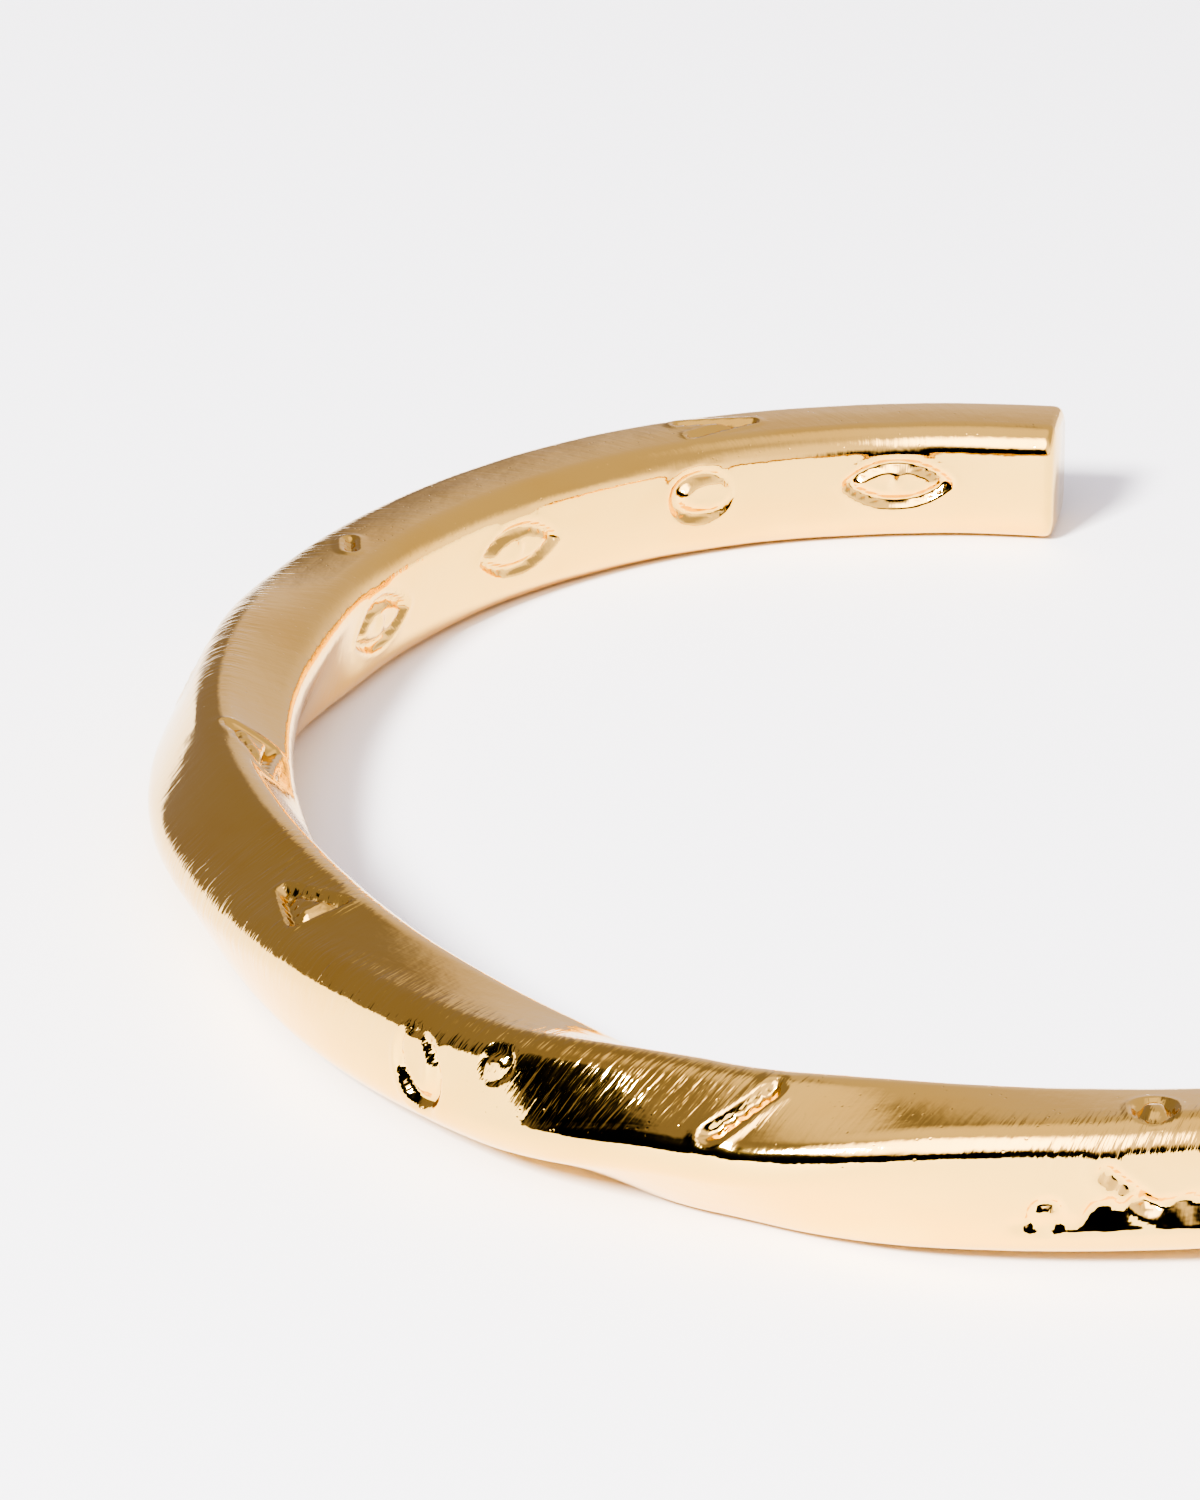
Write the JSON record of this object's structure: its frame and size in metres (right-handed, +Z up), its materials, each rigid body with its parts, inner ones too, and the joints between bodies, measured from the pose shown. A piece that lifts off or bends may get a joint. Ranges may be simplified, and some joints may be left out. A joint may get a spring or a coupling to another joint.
{
  "type": "cuff bracelet",
  "caption": "Open cuff bracelet of rounded square bar, twisted along its front, with small stamped figures, lying on its side.",
  "frame": {"origin": "centre of the cuff's box, on the surface that it lies on", "axes": "+Z up from that surface, along the wrist; +X along the widest way across the wrist; the mouth between the two ends faces +Y and the twisted front faces -Y"},
  "size_m": [0.0654, 0.0616, 0.005],
  "materials": {
    "polished_gold": "polished gold with fine brushed marks"
  },
  "bodies": {
    "root": {"cuff_band": "polished_gold"}
  },
  "joints": []
}
